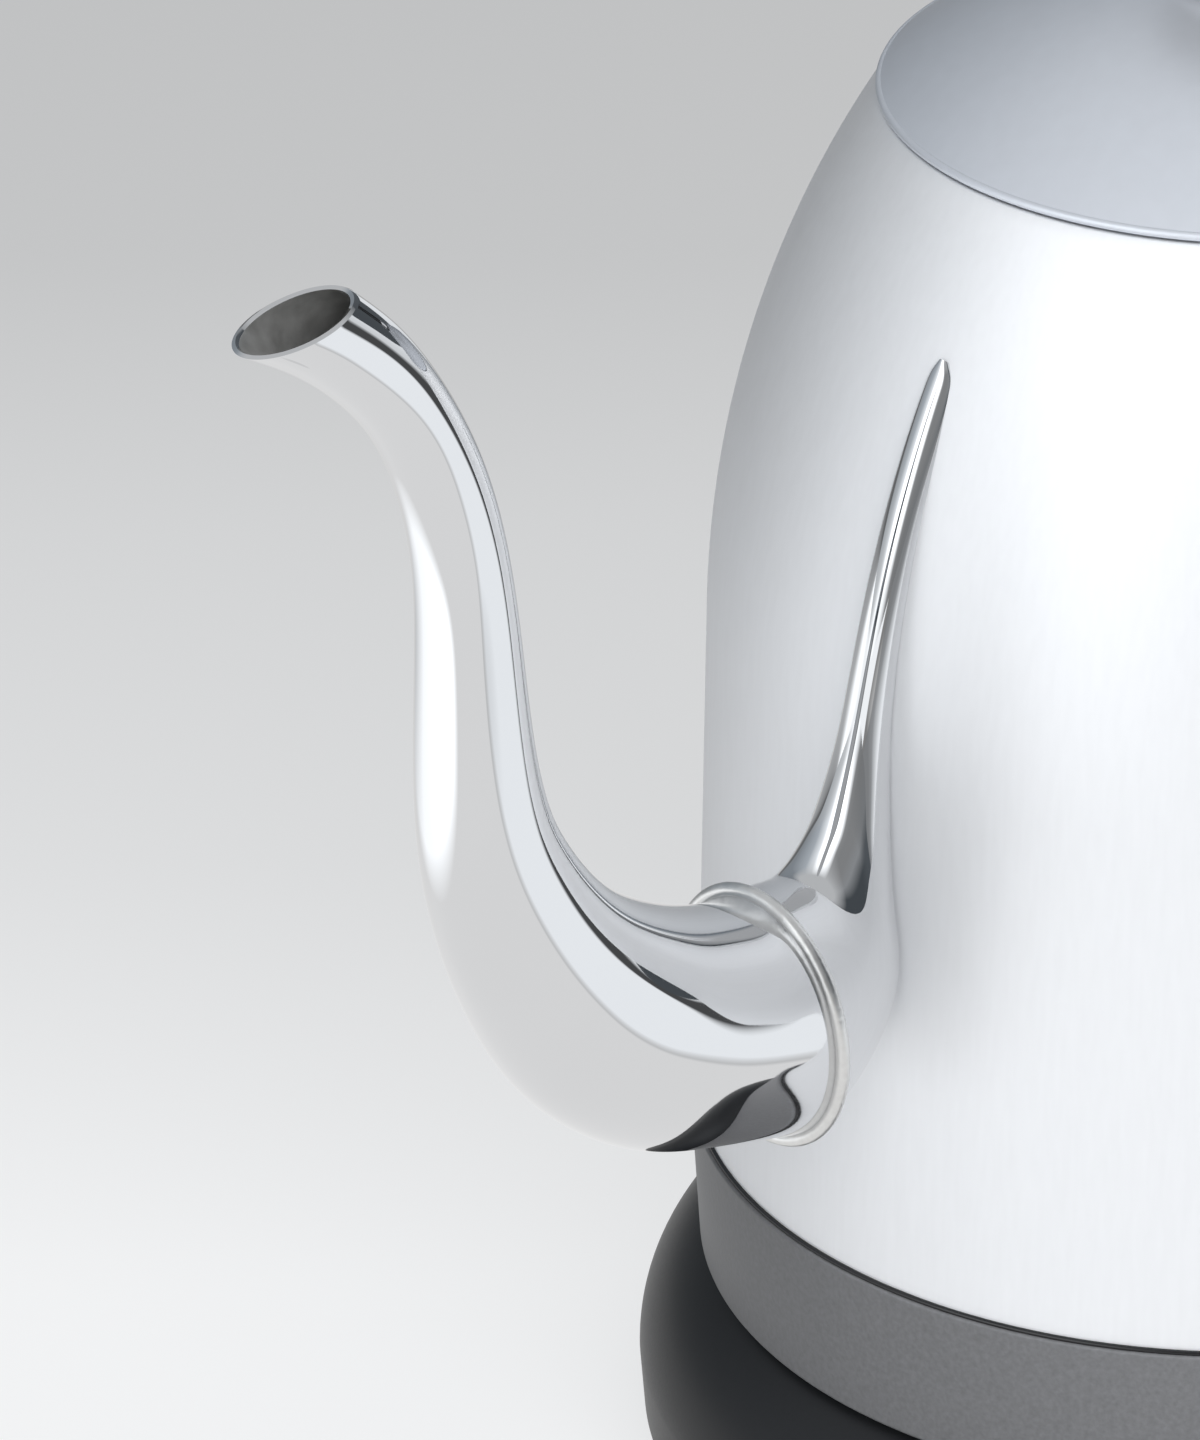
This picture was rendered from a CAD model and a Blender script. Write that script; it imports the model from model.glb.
import math

import bmesh
import bpy
import numpy as np
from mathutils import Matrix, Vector


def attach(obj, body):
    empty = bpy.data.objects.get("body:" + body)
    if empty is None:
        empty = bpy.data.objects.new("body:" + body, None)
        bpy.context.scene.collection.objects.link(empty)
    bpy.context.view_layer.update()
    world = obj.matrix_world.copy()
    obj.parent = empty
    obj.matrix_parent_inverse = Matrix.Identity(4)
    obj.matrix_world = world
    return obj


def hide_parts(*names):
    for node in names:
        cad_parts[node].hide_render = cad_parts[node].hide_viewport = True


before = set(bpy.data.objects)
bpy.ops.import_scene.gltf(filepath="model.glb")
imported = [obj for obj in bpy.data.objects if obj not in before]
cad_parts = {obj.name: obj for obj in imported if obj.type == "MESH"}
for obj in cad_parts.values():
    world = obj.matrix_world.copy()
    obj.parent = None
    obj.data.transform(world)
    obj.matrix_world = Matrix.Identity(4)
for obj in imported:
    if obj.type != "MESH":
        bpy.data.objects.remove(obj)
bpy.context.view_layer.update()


# Cover of the power base
# Moulded black plastic shell with a round shoulder, screwed to its bottom plate from below.
# It has a fine moulded grain, and a round hole in its top lets the socket through.
MM = 0.001
AROUND = 256
SHARP_TURN = math.radians(32)
MERGE_DISTANCE = 1e-6
LEAST_EDGE = 1e-7
NOISE_DETAIL = 4
LEAST_ROUGH = 0.01


def arc_points(start, middle, end, count):
    """Points of the arc through three points, without its first one."""
    (ax, ay), (bx, by), (cx, cy) = start, middle, end
    d = 2 * (ax * (by - cy) + bx * (cy - ay) + cx * (ay - by))
    sa, sb, sc = ax * ax + ay * ay, bx * bx + by * by, cx * cx + cy * cy
    ox = (sa * (by - cy) + sb * (cy - ay) + sc * (ay - by)) / d
    oy = (sa * (cx - bx) + sb * (ax - cx) + sc * (bx - ax)) / d
    radius = math.hypot(ax - ox, ay - oy)
    first = math.atan2(ay - oy, ax - ox)
    sweep = (math.atan2(cy - oy, cx - ox) - first) % (2 * math.pi)
    via = (math.atan2(by - oy, bx - ox) - first) % (2 * math.pi)
    if via > sweep:
        sweep -= 2 * math.pi
    turns = [first + sweep * i / count for i in range(1, count + 1)]
    return [(ox + radius * math.cos(t), oy + radius * math.sin(t)) for t in turns]


def path_points(path, arc_count=24):
    """Profile points in millimetres; a pair of points in the path is the middle and the end of an arc."""
    points = [path[0]]
    for step in path[1:]:
        if isinstance(step[0], tuple):
            points += arc_points(points[-1], step[0], step[1], arc_count)
        else:
            points.append(step)
    return points


def tidy_mesh(name, mesh):
    """Close seams and poles, point faces outwards and smooth all but the sharp turns."""
    work = bmesh.new()
    work.from_mesh(mesh)
    bmesh.ops.remove_doubles(work, verts=work.verts, dist=MERGE_DISTANCE)
    bmesh.ops.dissolve_degenerate(work, edges=work.edges, dist=LEAST_EDGE)
    bmesh.ops.recalc_face_normals(work, faces=work.faces)
    for face in work.faces:
        face.smooth = True
    for edge in work.edges:
        edge.smooth = len(edge.link_faces) == 2 and edge.calc_face_angle(0) < SHARP_TURN
    work.to_mesh(mesh)
    work.free()
    mesh.name = name
    return mesh


def grid_mesh(name, rows, closed, kinds=None):
    """Mesh over closed loops of points in millimetres; kinds are the material indices of its bands."""
    rows = np.asarray(rows, float) * MM
    count, across = rows.shape[:2]
    bands = count if closed else count - 1
    faces = []
    for i in range(bands):
        low, high = i * across, (i + 1) % count * across
        for j in range(across):
            k = (j + 1) % across
            faces.append((low + j, low + k, high + k, high + j))
    if not closed:
        faces += [tuple(range(across)), tuple(range((count - 1) * across, count * across))]
    mesh = bpy.data.meshes.new(name)
    mesh.from_pydata(rows.reshape(-1, 3).tolist(), [], faces)
    if kinds:
        for i, kind in enumerate(kinds):
            for face in mesh.polygons[i * across:(i + 1) * across]:
                face.material_index = kind
    return tidy_mesh(name, mesh)


def turned_mesh(name, profile):
    """Closed profile of (radius, height) in millimetres turned about the upright axis."""
    turns = np.linspace(0, 2 * math.pi, AROUND, endpoint=False)
    rows = [[(r * math.cos(t), r * math.sin(t), z) for t in turns] for r, z in profile]
    return grid_mesh(name, rows, closed=True)


def finish(
    name, tone, rough, metal=0.0, grain=900.0, mottle=0.06, spread=0.05, bump=0.01,
    stretch=(1, 1, 1), shine=0.5,
):
    """Material whose colour, gloss and relief vary a little with a fine noise; bump is in millimetres."""
    made = bpy.data.materials.new(name)
    made.use_nodes = True
    nodes, links = made.node_tree.nodes, made.node_tree.links
    shader = nodes["Principled BSDF"]
    shader.inputs["Metallic"].default_value = metal
    shader.inputs["Specular IOR Level"].default_value = shine
    place = nodes.new("ShaderNodeTexCoord")
    fit = nodes.new("ShaderNodeMapping")
    fit.inputs["Scale"].default_value = stretch
    links.new(place.outputs["Object"], fit.inputs["Vector"])
    noise = nodes.new("ShaderNodeTexNoise")
    noise.inputs["Scale"].default_value = grain
    noise.inputs["Detail"].default_value = NOISE_DETAIL
    links.new(fit.outputs["Vector"], noise.inputs["Vector"])
    ramp = nodes.new("ShaderNodeMix")
    ramp.data_type = "RGBA"
    ramp.inputs["A"].default_value = [c * (1 - mottle) for c in tone] + [1]
    ramp.inputs["B"].default_value = [min(c * (1 + mottle), 1) for c in tone] + [1]
    links.new(noise.outputs["Fac"], ramp.inputs["Factor"])
    links.new(ramp.outputs["Result"], shader.inputs["Base Color"])
    gloss = nodes.new("ShaderNodeMapRange")
    gloss.inputs["To Min"].default_value = max(rough - spread, LEAST_ROUGH)
    gloss.inputs["To Max"].default_value = rough + spread
    links.new(noise.outputs["Fac"], gloss.inputs["Value"])
    links.new(gloss.outputs["Result"], shader.inputs["Roughness"])
    relief = nodes.new("ShaderNodeBump")
    relief.inputs["Strength"].default_value = 1
    relief.inputs["Distance"].default_value = bump * MM
    links.new(noise.outputs["Fac"], relief.inputs["Height"])
    links.new(relief.outputs["Normal"], shader.inputs["Normal"])
    return made


def add_piece(name, mesh, materials, body, slot, *nodes):
    """Put a mesh in the scene as a piece that rides a body and stands for CAD nodes."""
    piece = bpy.data.objects.new(name, mesh)
    bpy.context.scene.collection.objects.link(piece)
    if mesh.materials:
        mesh.materials.clear()
    for material in materials:
        mesh.materials.append(material)
    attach(piece, body)
    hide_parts(*nodes)


BASE_R = 69.5
BASE_FOOT_R = 68.9
BASE_LOW_Z = 1.2
BASE_SIDE_Z = 9.0
BASE_TOP_Z = 24.9
BASE_SHOULDER = 10.5
BASE_WALL = 2.5
BASE_EDGE = 0.5
BASE_EDGE_MID = 0.15
SOCKET_HOLE_R = 13.8


def shoulder(out_r, top_z):
    """Middle and end of the round shoulder that starts upright at the side."""
    rise = top_z - BASE_SIDE_Z
    bend = (BASE_SHOULDER ** 2 + rise ** 2) / (2 * BASE_SHOULDER)
    sweep = math.atan2(rise, bend - BASE_SHOULDER) / 2
    middle = (out_r - bend + bend * math.cos(sweep), BASE_SIDE_Z + bend * math.sin(sweep))
    return middle, (out_r - BASE_SHOULDER, top_z)


black_plastic = finish(
    "black_plastic", tone=(0.016, 0.017, 0.019), rough=0.4, grain=2600, mottle=0.15, bump=0.006, shine=0.25
)
inner_top = BASE_TOP_Z - BASE_WALL
inner_r = BASE_R - BASE_WALL
cover_path = [
    (BASE_FOOT_R - BASE_WALL, BASE_LOW_Z),
    (BASE_FOOT_R - BASE_EDGE, BASE_LOW_Z),
    ((BASE_FOOT_R - BASE_EDGE_MID, BASE_LOW_Z + BASE_EDGE_MID), (BASE_FOOT_R, BASE_LOW_Z + BASE_EDGE)),
    (BASE_R, BASE_SIDE_Z),
    shoulder(BASE_R, BASE_TOP_Z),
    (SOCKET_HOLE_R, BASE_TOP_Z),
    (SOCKET_HOLE_R, inner_top),
    (inner_r - BASE_SHOULDER, inner_top),
    (shoulder(inner_r, inner_top)[0], (inner_r, BASE_SIDE_Z)),
]
base_cover = turned_mesh("base_cover_shell", path_points(cover_path))
add_piece("base_cover_shell", base_cover, [black_plastic], "power_base", "black_plastic", "base_cover")


# Under the power base and its socket
# Bottom plate of dark grey plastic, rubber feet pushed through it, steel screws, and the cord inlet.
# The round socket stands in the middle with two brass sleeves inside.
PIN_SIDES = 48
RECESS_SHARE = 1.2


def headed_pins_tree():
    """Node tree that sets a headed pin, with or without a cross recess, on every point of a mesh."""
    tree = bpy.data.node_groups.new("headed_pins", "GeometryNodeTree")
    sizes = ("Head Radius", "Head Height", "Shank Radius", "Shank Length", "Recess Width", "Recess Depth")
    wanted = [("Places", "Geometry")] + [(name, "Float") for name in sizes]
    wanted += [("Recess", "Bool"), ("Turn", "Rotation"), ("Material", "Material")]
    for name, kind in wanted:
        tree.interface.new_socket(name, in_out="INPUT", socket_type="NodeSocket" + kind)
    tree.interface.new_socket("Pins", in_out="OUTPUT", socket_type="NodeSocketGeometry")
    given = tree.nodes.new("NodeGroupInput").outputs
    link = tree.links.new

    def node(kind, **inputs):
        made = tree.nodes.new("GeometryNode" + kind)
        for key, value in inputs.items():
            link(value, made.inputs[key])
        return made

    def maths(how, first, second):
        made = tree.nodes.new("ShaderNodeMath")
        made.operation = how
        link(first, made.inputs[0])
        if isinstance(second, float):
            made.inputs[1].default_value = second
        else:
            link(second, made.inputs[1])
        return made.outputs["Value"]

    def vector(x=None, y=None, z=None):
        made = tree.nodes.new("ShaderNodeCombineXYZ")
        for key, value in zip("XYZ", (x, y, z)):
            if value:
                link(value, made.inputs[key])
        return made.outputs["Vector"]

    def disc(radius, height, low):
        bar = node("MeshCylinder", Radius=radius, Depth=height)
        bar.inputs["Vertices"].default_value = PIN_SIDES
        middle = maths("MULTIPLY", height, 0.5)
        if low:
            middle = maths("ADD", middle, low)
        moved = node("Transform", Geometry=bar.outputs["Mesh"], Translation=vector(z=middle))
        return moved.outputs["Geometry"]

    head = disc(given["Head Radius"], given["Head Height"], None)
    long_side = maths("MULTIPLY", given["Head Radius"], RECESS_SHARE)
    depth = maths("MULTIPLY", given["Recess Depth"], 2.0)
    width = given["Recess Width"]
    cut = node("MeshBoolean")
    cut.operation = "DIFFERENCE"
    link(head, cut.inputs["Mesh 1"])
    for size in (vector(long_side, width, depth), vector(width, long_side, depth)):
        link(node("MeshCube", Size=size).outputs["Mesh"], cut.inputs["Mesh 2"])
    choice = node("Switch", Switch=given["Recess"])
    link(head, choice.inputs["False"])
    link(cut.outputs["Mesh"], choice.inputs["True"])
    both = node("JoinGeometry")
    link(choice.outputs["Output"], both.inputs["Geometry"])
    link(disc(given["Shank Radius"], given["Shank Length"], given["Head Height"]), both.inputs["Geometry"])
    spread = node(
        "InstanceOnPoints", Points=given["Places"], Instance=both.outputs["Geometry"], Rotation=given["Turn"]
    )
    real = node("RealizeInstances", Geometry=spread.outputs["Instances"])
    dressed = node("SetMaterial", Geometry=real.outputs["Geometry"], Material=given["Material"])
    link(dressed.outputs["Geometry"], tree.nodes.new("NodeGroupOutput").inputs["Pins"])
    return tree


headed_pins = headed_pins_tree()


def pins_mesh(name, places, material, **sizes):
    """Plain mesh of headed pins at places; sizes in millimetres go to the tree's named inputs."""
    points = bpy.data.meshes.new(name + "_places")
    points.from_pydata([[c * MM for c in place] for place in places], [], [])
    holder = bpy.data.objects.new(name + "_places", points)
    bpy.context.scene.collection.objects.link(holder)
    pins = holder.modifiers.new("pins", "NODES")
    pins.node_group = headed_pins
    given = {key.replace("_", " ").title(): value * MM for key, value in sizes.items() if key != "turn"}
    given["Recess"] = "recess_depth" in sizes
    given["Turn"] = sizes.get("turn", (0.0, 0.0, 0.0))
    given["Material"] = material
    for socket in headed_pins.interface.items_tree:
        if socket.name in given:
            pins[socket.identifier] = given[socket.name]
    seen = holder.evaluated_get(bpy.context.evaluated_depsgraph_get())
    mesh = bpy.data.meshes.new_from_object(seen)
    holder.modifiers.remove(pins)
    bpy.data.objects.remove(holder)
    return tidy_mesh(name, mesh)


def on_circle(radius, count, start, height):
    """Places on a circle about the axis at a height."""
    turns = [math.radians(start + 360 / count * i) for i in range(count)]
    return [(radius * math.cos(t), radius * math.sin(t), height) for t in turns]


def dress(node, material):
    """Give a CAD node its material."""
    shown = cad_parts[node]
    shown.data.materials.clear()
    shown.data.materials.append(material)


black_rubber = finish(
    "black_rubber", tone=(0.02, 0.02, 0.021), rough=0.75, grain=1800, mottle=0.2, bump=0.02
)
ring_grey = finish(
    "ring_grey_plastic", tone=(0.165, 0.168, 0.176), rough=0.5, grain=1500, mottle=0.3, spread=0.08,
    bump=0.03,
)
contact_brass = finish(
    "contact_brass", tone=(0.72, 0.50, 0.20), rough=0.28, metal=1, grain=1200, mottle=0.08
)
plain_steel = finish("plain_steel", tone=(0.58, 0.58, 0.59), rough=0.32, metal=1, grain=1500, mottle=0.06)
FEET_CIRCLE_R = 54.0
BASE_SCREW_CIRCLE_R = 44.0
FOOT = dict(head_radius=6.0, head_height=1.2, shank_radius=2.8, shank_length=2.2)
SCREW = dict(head_radius=3.0, head_height=1.2, shank_radius=1.5, recess_width=0.7, recess_depth=0.7)
feet_places = on_circle(FEET_CIRCLE_R, count=4, start=45, height=0) + [(0, 0, 0)]
feet = pins_mesh("rubber_feet", feet_places, black_rubber, **FOOT)
add_piece("rubber_feet", feet, [black_rubber], "power_base", "black_rubber", "base_feet")
screw_places = on_circle(BASE_SCREW_CIRCLE_R, count=3, start=0, height=BASE_LOW_Z)
screws = pins_mesh("base_cross_screws", screw_places, plain_steel, shank_length=10.0, **SCREW)
add_piece("base_cross_screws", screws, [plain_steel], "power_base", "plain_steel", "base_screws")
dress("base_plate", ring_grey)
dress("cord_gland", black_rubber)
dress("base_socket", ring_grey)
dress("socket_contacts", contact_brass)


# Plug of the kettle
# Dark grey plastic flange and skirt held in the kettle's bottom, with a brass pin and ring.
# Being round, it finds the socket at any turn of the kettle.
dress("plug_body", ring_grey)
dress("plug_pins", contact_brass)


# Base ring of the kettle
# Dark grey moulded ring with a fine sandy grain, screwed to the heater plate from inside.
# A glossy black rubber seal lies between it and the steel body and shows as one thin line.
RING_LOW_Z = 25.2
RING_LOW_R = 62.2
RING_TOP_R = 63.4
RING_WALL = 3.0
SEAL_LOW_Z = 44.5
EDGE_Z = 45.0
SEAL_R = 63.05
SEAL_W = 2.4
RING_LOW_ROUND = 0.6
RING_TOP_ROUND = 0.4
SEAL_ROUND = 0.2
ring_path = [
    (RING_LOW_R - RING_WALL, RING_LOW_Z),
    (RING_LOW_R - RING_LOW_ROUND, RING_LOW_Z),
    (
        (RING_LOW_R - RING_LOW_ROUND / 4, RING_LOW_Z + RING_LOW_ROUND / 3),
        (RING_LOW_R, RING_LOW_Z + RING_LOW_ROUND),
    ),
    (RING_TOP_R, SEAL_LOW_Z - RING_TOP_ROUND),
    (
        (RING_TOP_R - RING_TOP_ROUND / 4, SEAL_LOW_Z - RING_TOP_ROUND / 4),
        (RING_TOP_R - RING_TOP_ROUND, SEAL_LOW_Z),
    ),
    (RING_LOW_R - RING_WALL, SEAL_LOW_Z),
]
ring_mesh = turned_mesh("base_ring_band", path_points(ring_path, arc_count=6))
add_piece("base_ring_band", ring_mesh, [ring_grey], "kettle", "ring_grey_plastic", "base_ring")
gloss_black = finish(
    "black_gloss", tone=(0.008, 0.008, 0.009), rough=0.16, grain=900, mottle=0.1, spread=0.03, bump=0.002
)
seal_path = [
    (SEAL_R - SEAL_W, SEAL_LOW_Z),
    (SEAL_R - SEAL_ROUND / 2, SEAL_LOW_Z),
    ((SEAL_R, (SEAL_LOW_Z + EDGE_Z) / 2), (SEAL_R - SEAL_ROUND, EDGE_Z)),
    (SEAL_R - SEAL_W, EDGE_Z),
]
seal_mesh = turned_mesh("shell_seal", path_points(seal_path, arc_count=8))
add_piece("shell_seal", seal_mesh, [gloss_black], "kettle", "black_gloss", "shell_gasket")
dress("bottom_cover", ring_grey)
COVER_SCREW_CIRCLE_R = 55.2
COVER_SCREW_Z = 25.6
screw_places = on_circle(COVER_SCREW_CIRCLE_R, count=3, start=60, height=COVER_SCREW_Z)
screws = pins_mesh("cover_cross_screws", screw_places, plain_steel, shank_length=7.2, **SCREW)
add_piece("cover_cross_screws", screws, [plain_steel], "kettle", "plain_steel", "bottom_screws")


# Heater and control
# Steel heater plate that closes the body, an aluminium spreader with its element, and the control below.
# A thin steel steam tube stands at the back of the body in a rubber seal.
def smooth_copy(node, name, material, body, slot):
    """Merged and smoothed copy of a CAD node, standing for it."""
    mesh = tidy_mesh(name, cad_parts[node].data.copy())
    add_piece(name, mesh, [material], body, slot, node)


cast_aluminium = finish(
    "cast_aluminium", tone=(0.62, 0.62, 0.63), rough=0.42, metal=1, grain=700, mottle=0.12, bump=0.03
)
dress("heater_plate", plain_steel)
dress("heat_spreader", cast_aluminium)
dress("heating_element", plain_steel)
dress("control_unit", ring_grey)
dress("snap_disc", plain_steel)
dress("plate_studs", plain_steel)
dress("stud_nuts", plain_steel)
smooth_copy("steam_tube", "steam_pipe", plain_steel, "kettle", "plain_steel")
dress("tube_seal", black_rubber)


# Steel body
# One drawn stainless steel shell, 0.8 mm thick, with a slight taper and one long arc to the mouth.
# The outside is satin polished, and a short steel neck for the lid is welded into the mouth.
EDGE_R = 62.6
TAPER_Z = 110.0
TAPER_IN = 0.84
SHOULDER_R = 130.0
MOUTH_Z = 176.2
MOUTH_DROP = 0.1
MOUTH_ROUND = 0.6
MOUTH_ROUND_MID = 0.25
STEEL = 0.8
NECK_R = 38.4
NECK_H = 8.2
NECK_ROUND = 1.0
NECK_ROUND_MID = 0.3
LEAN = math.atan2(TAPER_IN, TAPER_Z - EDGE_Z)
ARC_X = EDGE_R - TAPER_IN - SHOULDER_R * math.cos(LEAN)
ARC_Z = TAPER_Z - SHOULDER_R * math.sin(LEAN)


def body_r(z, inset=0.0):
    """Radius of the body's outside at a height, drawn in by an inset."""
    if z < TAPER_Z:
        return EDGE_R - (z - EDGE_Z) * math.tan(LEAN) - inset
    return ARC_X + math.sqrt((SHOULDER_R - inset) ** 2 - (z - ARC_Z) ** 2)


satin_steel = finish(
    "satin_steel", tone=(0.885, 0.9, 0.925), rough=0.5, metal=0.42, grain=420, mottle=0.03, spread=0.04,
    bump=0.0, stretch=(2.5, 2.5, 0.35),
)
mouth_r = body_r(MOUTH_Z)
under = MOUTH_Z - STEEL
half_z = (TAPER_Z + MOUTH_Z) / 2
body_path = [
    (EDGE_R - STEEL, EDGE_Z),
    (EDGE_R, EDGE_Z),
    (body_r(TAPER_Z), TAPER_Z),
    ((body_r(half_z), half_z), (mouth_r - MOUTH_DROP, MOUTH_Z - MOUTH_DROP)),
    ((mouth_r - MOUTH_ROUND_MID, MOUTH_Z - MOUTH_DROP / 5), (mouth_r - MOUTH_ROUND, MOUTH_Z)),
    (NECK_R + NECK_ROUND, MOUTH_Z),
    ((NECK_R + NECK_ROUND_MID, MOUTH_Z - NECK_ROUND_MID), (NECK_R, MOUTH_Z - NECK_ROUND)),
    (NECK_R, MOUTH_Z - NECK_H),
    (NECK_R + STEEL, MOUTH_Z - NECK_H),
    (NECK_R + STEEL, under),
    (body_r(under, STEEL), under),
    ((body_r(half_z, STEEL), half_z), (body_r(TAPER_Z, STEEL), TAPER_Z)),
]
body_mesh = turned_mesh("steel_body", path_points(body_path, arc_count=48))
add_piece("steel_body", body_mesh, [satin_steel], "kettle", "satin_steel", "body_shell", "neck_ring")


# Horn of the spout
# Hollow pressed steel tusk, mirror polished, which carries the spout and runs to a narrow tip up the body.
# It is welded to the body all round, and the spout is brazed to its round end.
HORN_ROWS = 160
HORN_ACROSS = 96
SINK = 0.3
# Ovals across the horn: outer and inner end, each from the axis and above the body's edge, and half width
HORN = [
    ((82.0, 57.7), (79.3, 26.4), 12.2),
    ((77.0, 57.3), (72.6, 28.2), 10.7),
    ((73.5, 58.0), (61.8, 38.8), 7.8),
    ((71.6, 60.4), (61.2, 47.4), 6.0),
    ((69.7, 64.0), (61.2, 60.0), 4.3),
    ((67.4, 70.5), (60.9, 67.8), 3.3),
    ((65.4, 78.0), (60.3, 75.8), 2.8),
    ((62.4, 89.5), (58.4, 87.2), 2.5),
    ((57.9, 102.3), (54.4, 100.1), 2.3),
    ((53.35, 112.0), (50.55, 109.8), 2.0),
    ((52.3, 113.9), (50.3, 112.2), 1.5),
    ((51.7, 114.9), (50.3, 113.8), 0.7),
]


def two_ends(row):
    """Centre, half span and half width of an oval given by its two ends."""
    (ox, oz), (ix, iz), wide = row
    return ((ox + ix) / 2, (oz + iz) / 2, (ox - ix) / 2, (oz - iz) / 2, wide)


def smooth_rows(stations, count):
    """Natural cubic curves through rows of numbers, spaced by the way between their places."""
    stations = np.asarray(stations, float)
    steps = np.linalg.norm(np.diff(stations[:, :2], axis=0), axis=1)
    along = np.concatenate([[0], np.cumsum(steps)])
    n = len(along)
    matrix = np.eye(n)
    right = np.zeros_like(stations)
    for i in range(1, n - 1):
        matrix[i, i - 1:i + 2] = steps[i - 1], 2 * (steps[i - 1] + steps[i]), steps[i]
        after = (stations[i + 1] - stations[i]) / steps[i]
        before = (stations[i] - stations[i - 1]) / steps[i - 1]
        right[i] = 6 * (after - before)
    bends = np.linalg.solve(matrix, right)
    at = np.linspace(0, along[-1], count)
    k = np.clip(np.searchsorted(along, at, side="right") - 1, 0, n - 2)
    h = steps[k][:, None]
    a = (along[k + 1] - at)[:, None]
    b = (at - along[k])[:, None]
    curve = (bends[k] * a ** 3 + bends[k + 1] * b ** 3) / (6 * h)
    curve += (stations[k] / h - bends[k] * h / 6) * a
    return curve + (stations[k + 1] / h - bends[k + 1] * h / 6) * b


def oval_rows(rows, inset, across):
    """Oval loops of points along the spout's middle plane, drawn in by an inset."""
    turns = np.linspace(0, 2 * math.pi, across, endpoint=False)
    loops = []
    for cx, cz, ux, uz, wide in rows:
        span = math.hypot(ux, uz)
        part = (span - inset) / span
        out_x, out_y, out_z = ux * part, wide - inset, uz * part
        loops.append([
            (-cx - out_x * math.cos(t), out_y * math.sin(t), EDGE_Z + cz + out_z * math.cos(t))
            for t in turns
        ])
    return np.array(loops)


mirror_steel = finish(
    "mirror_steel", tone=(0.73, 0.735, 0.745), rough=0.03, metal=1, grain=60, mottle=0.01, spread=0.012,
    bump=0.004,
)
horn_rows = smooth_rows([two_ends(row) for row in HORN], HORN_ROWS)
horn_loops = oval_rows(horn_rows, 0, HORN_ACROSS)
# Points inside the body are brought up to just under its skin
for loop in horn_loops:
    for point in loop:
        radius = math.hypot(point[0], point[1])
        least = body_r(point[2]) - SINK
        if radius < least:
            point[:2] *= least / radius
horn_mesh = grid_mesh("spout_horn_tusk", horn_loops, closed=False)
add_piece("spout_horn_tusk", horn_mesh, [mirror_steel], "kettle", "mirror_steel", "spout_horn")


# Spout tube
# Drawn stainless tube, mirror polished outside and dull inside, bent to a swan neck that narrows upwards.
# Its mouth is cut nearly level and flared to a short pouring lip with a thin rounded edge.
SPOUT_ROWS = 260
SPOUT_ACROSS = 128
SPOUT_WALL = 0.8
LIP_ROUND = 0.25
POLISHED = 0
DULL = 1
# Middle of the tube from the axis and above the body's edge, half height and half width
SPOUT = [
    (88.6, 44.0, 14.1, 12.5),
    (97.4, 47.1, 14.1, 12.9),
    (106.6, 53.1, 13.2, 12.8),
    (114.8, 61.8, 11.1, 11.1),
    (120.1, 70.1, 9.5, 9.5),
    (123.3, 77.1, 8.4, 8.4),
    (125.2, 83.2, 7.6, 7.6),
    (126.8, 93.6, 6.7, 6.7),
    (127.6, 106.4, 5.9, 5.9),
    (128.9, 118.3, 5.3, 5.3),
    (132.4, 130.0, 5.0, 5.0),
    (138.9, 141.3, 5.0, 5.0),
]
SPOUT_LIP = [
    ((140.3, 150.8), (152.6, 147.3), 4.75),
    ((145.0, 155.1), (160.8, 152.5), 4.9),
]
spout_stations = [two_ends(HORN[0])]
lip_stations = [two_ends(row) for row in SPOUT_LIP]
places = [spout_stations[0][:2]] + [row[:2] for row in SPOUT] + [lip_stations[0][:2]]
for i, (x, z, tall, wide) in enumerate(SPOUT, 1):
    run_x = places[i + 1][0] - places[i - 1][0]
    run_z = places[i + 1][1] - places[i - 1][1]
    run = math.hypot(run_x, run_z)
    spout_stations.append((x, z, -run_z / run * tall, run_x / run * tall, wide))
spout_rows = smooth_rows(spout_stations + lip_stations, SPOUT_ROWS)
outside = oval_rows(spout_rows, 0, SPOUT_ACROSS)
inside = oval_rows(spout_rows, SPOUT_WALL, SPOUT_ACROSS)
lip = (outside[-1] + inside[-1]) / 2 + np.array((0, 0, LIP_ROUND))
spout_loops = np.concatenate([outside, [lip], inside[::-1]])
spout_kinds = [POLISHED] * (len(outside) + 1) + [DULL] * len(inside)
spout_inside = finish(
    "spout_inside", tone=(0.6, 0.6, 0.59), rough=0.4, metal=0.8, grain=420, mottle=0.4, spread=0.1, bump=0.06
)
spout_mesh = grid_mesh("swan_spout", spout_loops, closed=True, kinds=spout_kinds)
add_piece("swan_spout", spout_mesh, [mirror_steel, spout_inside], "kettle", "mirror_steel", "spout_tube")


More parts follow.
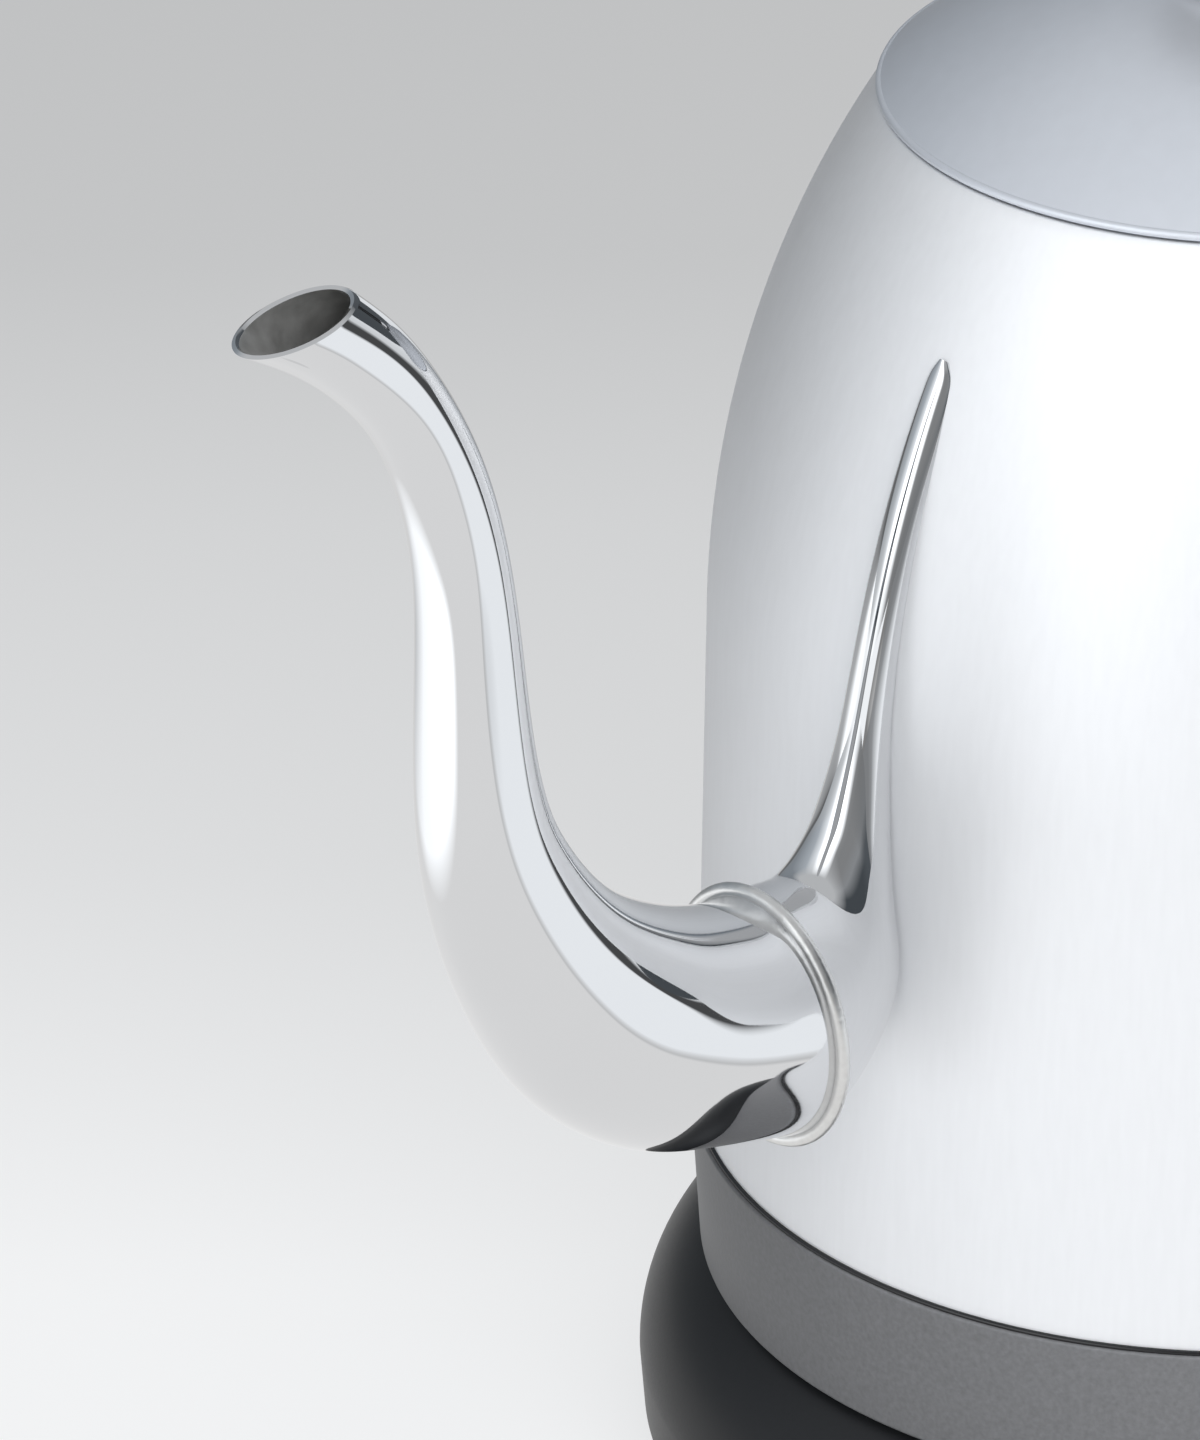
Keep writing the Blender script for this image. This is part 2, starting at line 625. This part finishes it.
# Brazed bead
# Fine ring of silver braze that closes the joint of horn and spout all round.
# It is left as it set, with a frosted, slightly lumpy skin.
BEAD_R = 0.85
BEAD_OUT = 0.5
BEAD_AROUND = 160
BEAD_ACROSS = 16
brazed_silver = finish(
    "brazed_silver", tone=(0.78, 0.78, 0.77), rough=0.36, metal=1, grain=900, mottle=0.12, spread=0.1,
    bump=0.06,
)
bead_x, bead_z, bead_ux, bead_uz, bead_wide = spout_stations[0]
bead_span = math.hypot(bead_ux, bead_uz)
bead_up = np.array((-bead_ux, 0, bead_uz)) / bead_span
bead_side = np.array((0, 1, 0))
bead_along = np.cross(bead_up, bead_side)
bead_middle = np.array((-bead_x, 0, EDGE_Z + bead_z))
bead_loops = []
for t in np.linspace(0, 2 * math.pi, BEAD_AROUND, endpoint=False):
    out = bead_up * math.cos(t) + bead_side * math.sin(t)
    raised = bead_up * (bead_span + BEAD_OUT) * math.cos(t)
    centre = bead_middle + raised + bead_side * (bead_wide + BEAD_OUT) * math.sin(t)
    bead_loops.append([
        centre + BEAD_R * (out * math.cos(u) + bead_along * math.sin(u))
        for u in np.linspace(0, 2 * math.pi, BEAD_ACROSS, endpoint=False)
    ])
bead_mesh = grid_mesh("braze_ring", bead_loops, closed=True)
add_piece("braze_ring", bead_mesh, [brazed_silver], "kettle", "brazed_silver", "spout_bead")


# Handle and switch
# Two moulded black halves screwed together, held by a steel bracket above and by the base ring below.
# The switch lever turns on a steel pin under the foot, and a red lens for the pilot lamp sits above it.
smooth_copy("handle_left", "handle_half_left", black_plastic, "kettle", "black_plastic")
smooth_copy("handle_right", "handle_half_right", black_plastic, "kettle", "black_plastic")
smooth_copy("handle_bracket", "handle_strap", plain_steel, "kettle", "plain_steel")
dress("handle_screws", plain_steel)
SIDE_SCREWS_AT = [(105.0, -9.5, 128.0), (98.0, -9.5, 84.0)]
SIDEWAYS = (-math.pi / 2, 0.0, 0.0)
SIDE_SCREW = dict(
    head_radius=2.8, head_height=1.8, shank_radius=1.5, shank_length=16.0, recess_width=0.7, recess_depth=1.0
)
screws = pins_mesh("handle_cross_screws", SIDE_SCREWS_AT, plain_steel, turn=SIDEWAYS, **SIDE_SCREW)
add_piece("handle_cross_screws", screws, [plain_steel], "kettle", "plain_steel", "handle_side_screws")
dress("lever_pin", plain_steel)
lamp_red = finish(
    "lamp_red", tone=(0.45, 0.02, 0.015), rough=0.12, grain=400, mottle=0.15, spread=0.03, bump=0.004
)
smooth_copy("pilot_lamp", "lamp_lens", lamp_red, "kettle", "lamp_red")
smooth_copy("switch_lever", "switch_paddle", black_plastic, "switch_lever", "black_plastic")


# Lid
# Satin steel dome with a rolled rim over an inner steel cup that drops into the neck.
# A black knob with a steel collar is held by one screw from below.
LID_Z = 176.55
LID_RISE = 16.0
LID_RIM_T = 0.55
LID_TOP_Z = LID_Z + LID_RISE
KNOB_HOLE_R = 2.05
dome_rise = LID_RISE - LID_RIM_T
dome_bend = (mouth_r ** 2 + dome_rise ** 2) / (2 * dome_rise)


def dome_z(r, drop=0.0):
    """Height of the dome at a radius, lowered square to the surface by drop."""
    return LID_TOP_Z - dome_bend + math.sqrt((dome_bend - drop) ** 2 - r ** 2)


rim_in = mouth_r - LID_RIM_T
half_r = mouth_r / 2
lid_path = [
    (KNOB_HOLE_R, dome_z(KNOB_HOLE_R)),
    ((half_r, dome_z(half_r)), (rim_in, dome_z(rim_in))),
    ((mouth_r, LID_Z + LID_RIM_T / 2), (rim_in, LID_Z)),
    (rim_in - STEEL / 2, LID_Z),
    (rim_in - STEEL / 2, dome_z(rim_in - STEEL / 2, STEEL)),
    ((half_r, dome_z(half_r, STEEL)), (KNOB_HOLE_R, dome_z(KNOB_HOLE_R, STEEL))),
]
lid_steel = finish(
    "lid_satin_steel", tone=(0.7, 0.735, 0.795), rough=0.42, metal=0.5, grain=420, mottle=0.03, spread=0.04,
    bump=0.0,
)
lid_mesh = turned_mesh("lid_cap", path_points(lid_path, arc_count=32))
add_piece("lid_cap", lid_mesh, [lid_steel], "lid", "satin_steel", "lid_dome")
smooth_copy("lid_cup", "lid_insert", plain_steel, "lid", "plain_steel")
smooth_copy("knob_collar", "knob_ring", plain_steel, "lid", "plain_steel")
smooth_copy("lid_knob", "knob_grip", black_plastic, "lid", "black_plastic")
dress("knob_screw", plain_steel)


# Table under the kettle
# Pale studio paper that falls off to grey behind the kettle.
# Polished steel mirrors a table top with an edge to its left and right, and greys of their own past them.
CAMERA_TURN = 46.0
TURN = math.radians(CAMERA_TURN)
AWAY = (math.sin(TURN), math.cos(TURN), 0)
RIGHT = (math.cos(TURN), -math.sin(TURN), 0)
FLOOR_HALF = 3.0
floor_corners = [(x * FLOOR_HALF, y * FLOOR_HALF, 0) for x, y in ((-1, -1), (1, -1), (1, 1), (-1, 1))]
floor_mesh = bpy.data.meshes.new("floor")
floor_mesh.from_pydata(floor_corners, [], [(0, 1, 2, 3)])
floor = bpy.data.objects.new("floor", floor_mesh)
bpy.context.scene.collection.objects.link(floor)
MIRROR_LEVEL = 2.0
SEEN_LEVEL = 1.37
SEEN_SHARE = 0.7
PAPER_ROUGH = 0.7
TABLE_LEFT = -0.235
TABLE_RIGHT = 0.115
EDGE_SOFT = 0.02
EDGE_LINE = 0.72
SLANT = 0.12
# Greys by metres away from the camera: as seen, then as mirrored on the table, left and right of it
SEEN = [(-0.9, 0.84), (0.03, 0.76), (0.14, 0.64), (0.24, 0.58), (0.335, 0.495), (1.2, 0.33)]
SEEN_BLUE = 0.01
TABLE_TOP = [(-1.4, 0.14), (-0.8, 0.3), (-0.45, 0.44), (0.0, 0.44), (0.15, 0.38), (0.35, 0.28), (1.0, 0.17)]
LEFT_SIDE = [(-1.0, 0.6), (-0.3, 0.8), (0.0, 0.66), (0.2, 0.26), (0.6, 0.08)]
LEFT_BLUE = 0.02
RIGHT_SIDE = [
    (-1.2, 0.14), (-0.7, 0.18), (-0.45, 0.36), (-0.3, 0.54), (-0.045, 0.54), (-0.01, 0.04), (0.2, 0.04),
    (0.4, 0.4), (1.2, 0.46),
]
RIGHT_BLUE = 0.03


def ramp_over(tree, value, stops):
    """Colour ramp over a value; stops are (value, colour)."""
    first, last = stops[0][0], stops[-1][0]
    spread = tree.nodes.new("ShaderNodeMapRange")
    spread.inputs["From Min"].default_value = first
    spread.inputs["From Max"].default_value = last
    tree.links.new(value, spread.inputs["Value"])
    ramp = tree.nodes.new("ShaderNodeValToRGB")
    elements = ramp.color_ramp.elements
    for i, (at, colour) in enumerate(stops):
        place = (at - first) / (last - first)
        element = elements[i] if i < 2 else elements.new(place)
        element.position = place
        element.color = (*colour, 1)
    tree.links.new(spread.outputs["Result"], ramp.inputs["Fac"])
    return ramp.outputs["Color"]


def along(tree, place, direction):
    """Distance of a place along a direction."""
    dot = tree.nodes.new("ShaderNodeVectorMath")
    dot.operation = "DOT_PRODUCT"
    dot.inputs[1].default_value = direction
    tree.links.new(place, dot.inputs[0])
    return dot.outputs["Value"]


def mixed(tree, how, factor, first, second):
    """Two colours mixed, multiplied or otherwise blended."""
    mix = tree.nodes.new("ShaderNodeMix")
    mix.data_type = "RGBA"
    mix.blend_type = how
    if isinstance(factor, float):
        mix.inputs["Factor"].default_value = factor
    else:
        tree.links.new(factor, mix.inputs["Factor"])
    tree.links.new(first, mix.inputs["A"])
    tree.links.new(second, mix.inputs["B"])
    return mix.outputs["Result"]


def grey(level, blue=0.0):
    """Grey of a level, leaning to blue."""
    return (level * (1 - blue), level, level * (1 + blue))


def greys(stops, blue=0.0):
    """Stops of a ramp with their greys made colours."""
    return [(at, grey(level, blue)) for at, level in stops]


def for_mirrors(tree, plain, colour, output):
    """A shader for what the camera sees and for light, and a colour that polished steel mirrors."""
    mirrored = tree.nodes.new("ShaderNodeEmission")
    mirrored.inputs["Strength"].default_value = MIRROR_LEVEL
    tree.links.new(colour, mirrored.inputs["Color"])
    blend = tree.nodes.new("ShaderNodeMixShader")
    tree.links.new(tree.nodes.new("ShaderNodeLightPath").outputs["Is Glossy Ray"], blend.inputs["Fac"])
    tree.links.new(plain, blend.inputs[1])
    tree.links.new(mirrored.outputs["Emission"], blend.inputs[2])
    tree.links.new(blend.outputs["Shader"], tree.nodes[output].inputs["Surface"])


paper = bpy.data.materials.new("table_paper")
paper.use_nodes = True
tree = paper.node_tree
where = tree.nodes.new("ShaderNodeTexCoord").outputs["Object"]
away = along(tree, where, AWAY)
right = along(tree, where, RIGHT)
seen = ramp_over(tree, away, greys(SEEN, SEEN_BLUE))
shader = tree.nodes["Principled BSDF"]
shader.inputs["Roughness"].default_value = PAPER_ROUGH
tree.links.new(seen, shader.inputs["Base Color"])
glow = tree.nodes.new("ShaderNodeEmission")
glow.inputs["Strength"].default_value = SEEN_LEVEL
tree.links.new(seen, glow.inputs["Color"])
straight = tree.nodes.new("ShaderNodeMath")
straight.operation = "MULTIPLY"
straight.inputs[1].default_value = SEEN_SHARE
tree.links.new(tree.nodes.new("ShaderNodeLightPath").outputs["Is Camera Ray"], straight.inputs[0])
shown = tree.nodes.new("ShaderNodeMixShader")
tree.links.new(straight.outputs["Value"], shown.inputs["Fac"])
tree.links.new(shader.outputs["BSDF"], shown.inputs[1])
tree.links.new(glow.outputs["Emission"], shown.inputs[2])
left_edge = [(TABLE_LEFT - EDGE_SOFT, 1.0), (TABLE_LEFT + EDGE_SOFT, 0.0)]
right_edge = [(TABLE_RIGHT - EDGE_SOFT, 0.0), (TABLE_RIGHT + EDGE_SOFT, 1.0)]
edge_line = [
    (TABLE_RIGHT - EDGE_SOFT, 1.0),
    (TABLE_RIGHT - EDGE_SOFT / 2, EDGE_LINE),
    (TABLE_RIGHT + EDGE_SOFT, 1.0),
]
past_left = ramp_over(tree, right, greys(left_edge))
past_right = ramp_over(tree, right, greys(right_edge))
slanted = along(tree, where, [a - SLANT * r for a, r in zip(AWAY, RIGHT)])
ground = ramp_over(tree, away, greys(TABLE_TOP))
ground = mixed(tree, "MIX", past_left, ground, ramp_over(tree, away, greys(LEFT_SIDE, LEFT_BLUE)))
ground = mixed(tree, "MIX", past_right, ground, ramp_over(tree, slanted, greys(RIGHT_SIDE, RIGHT_BLUE)))
ground = mixed(tree, "MULTIPLY", 1.0, ground, ramp_over(tree, right, greys(edge_line)))
for_mirrors(tree, shown.outputs["Shader"], ground, "Material Output")
floor_mesh.materials.append(paper)


# Room round the table
# Pale studio wall that gives a low even light.
# Polished steel mirrors it as bright at the front left, dim at the back and dark blue at the right.
WALL_SEEN = 0.62
ROOM_LIGHT = 0.22
WALL_BLUE = 0.01
CEILING = (0.3, 0.02)
HIGH_FROM = 0.03
HIGH_FULL = 0.16
CEILING_FROM = 0.55
CEILING_FULL = 0.8
# Turn in degrees from the far side, to the left negative, grey and blue, at the table's level and above it
LOW_ROOM = [
    (-180, 0.12, 0.02), (-168, 0.14, 0.02), (-158, 0.5, 0.02), (-148, 0.7, 0.02), (-125, 0.7, 0.02),
    (-110, 0.36, 0.03), (-80, 0.26, 0.05), (-45, 0.15, 0.08), (0, 0.12, 0.08), (20, 0.05, 0.1),
    (70, 0.04, 0.12), (100, 0.05, 0.12), (130, 0.06, 0.1), (145, 0.12, 0.04), (180, 0.12, 0.02),
]
HIGH_ROOM = [
    (-180, 0.14, 0.02), (-168, 0.16, 0.02), (-158, 0.8, 0.02), (-148, 1.1, 0.02), (-122, 1.1, 0.02),
    (-108, 0.5, 0.04), (-85, 0.26, 0.08), (-45, 0.15, 0.1), (0, 0.13, 0.1), (20, 0.06, 0.1),
    (75, 0.04, 0.12), (120, 0.04, 0.12), (140, 0.16, 0.04), (160, 0.14, 0.02), (180, 0.14, 0.02),
]
world = bpy.data.worlds.new("studio")
bpy.context.scene.world = world
world.use_nodes = True
tree = world.node_tree
where = tree.nodes.new("ShaderNodeTexCoord").outputs["Generated"]
turn = tree.nodes.new("ShaderNodeMath")
turn.operation = "ARCTAN2"
tree.links.new(along(tree, where, RIGHT), turn.inputs[0])
tree.links.new(along(tree, where, AWAY), turn.inputs[1])
rooms = []
for room in (LOW_ROOM, HIGH_ROOM):
    stops = [(math.radians(degrees), grey(level, blue)) for degrees, level, blue in room]
    rooms.append(ramp_over(tree, turn.outputs["Value"], stops))
rise = along(tree, where, (0, 0, 1))
higher = ramp_over(tree, rise, greys([(HIGH_FROM, 0.0), (HIGH_FULL, 1.0)]))
overhead = ramp_over(tree, rise, greys([(CEILING_FROM, 0.0), (CEILING_FULL, 1.0)]))
ceiling = tree.nodes.new("ShaderNodeRGB")
ceiling.outputs["Color"].default_value = (*grey(*CEILING), 1)
view = mixed(tree, "MIX", overhead, mixed(tree, "MIX", higher, *rooms), ceiling.outputs["Color"])
wall = tree.nodes["Background"]
wall.inputs["Color"].default_value = (*grey(1.0, WALL_BLUE), 1)
wall_level = tree.nodes.new("ShaderNodeMath")
wall_level.operation = "MULTIPLY_ADD"
wall_level.inputs[1].default_value = WALL_SEEN - ROOM_LIGHT
wall_level.inputs[2].default_value = ROOM_LIGHT
tree.links.new(tree.nodes.new("ShaderNodeLightPath").outputs["Is Camera Ray"], wall_level.inputs[0])
tree.links.new(wall_level.outputs["Value"], wall.inputs["Strength"])
for_mirrors(tree, wall.outputs["Background"], view, "World Output")


# Key light
# One large soft box in front of the kettle, above the camera and a little to its right.
# It lights the satin steel, and polished steel does not mirror it.
KEY_TURN = math.radians(167)
KEY_RISE = math.radians(40)
KEY_REACH = 1.7
KEY_WIDTH = 1.6
KEY_HEIGHT = 1.4
KEY_POWER = 33
KEY_AIM = Vector((0, 0, 0.1))
lamp = bpy.data.lights.new("key_box", "AREA")
lamp.shape = "RECTANGLE"
lamp.size = KEY_WIDTH
lamp.size_y = KEY_HEIGHT
lamp.energy = KEY_POWER
key_box = bpy.data.objects.new("key_box", lamp)
side = math.sin(KEY_TURN) * math.cos(KEY_RISE)
back = math.cos(KEY_TURN) * math.cos(KEY_RISE)
toward = Vector([side * r + back * a for r, a in zip(RIGHT, AWAY)])
toward.z = math.sin(KEY_RISE)
key_box.location = KEY_AIM + toward * KEY_REACH
key_box.rotation_euler = toward.to_track_quat("Z", "Y").to_euler()
key_box.visible_glossy = False
bpy.context.scene.collection.objects.link(key_box)


# Camera
# Long lens on a 36 mm wide sensor, at the photograph's viewing angle.
# It looks down on the kettle from the spout's side.
LENS_MM = 250
SENSOR_MM = 36
SIGHT_END = 20
CAMERA_AT = (-0.8102, -0.6790, 0.6437)
CAMERA_RISE = 27.5
lens = bpy.data.cameras.new("camera")
lens.lens = LENS_MM
lens.sensor_width = SENSOR_MM
lens.clip_end = SIGHT_END
camera = bpy.data.objects.new("camera", lens)
camera.location = CAMERA_AT
camera.rotation_euler = (math.radians(90 - CAMERA_RISE), 0, math.radians(-CAMERA_TURN))
bpy.context.scene.collection.objects.link(camera)
bpy.context.scene.camera = camera
bpy.context.scene.view_settings.view_transform = "Standard"
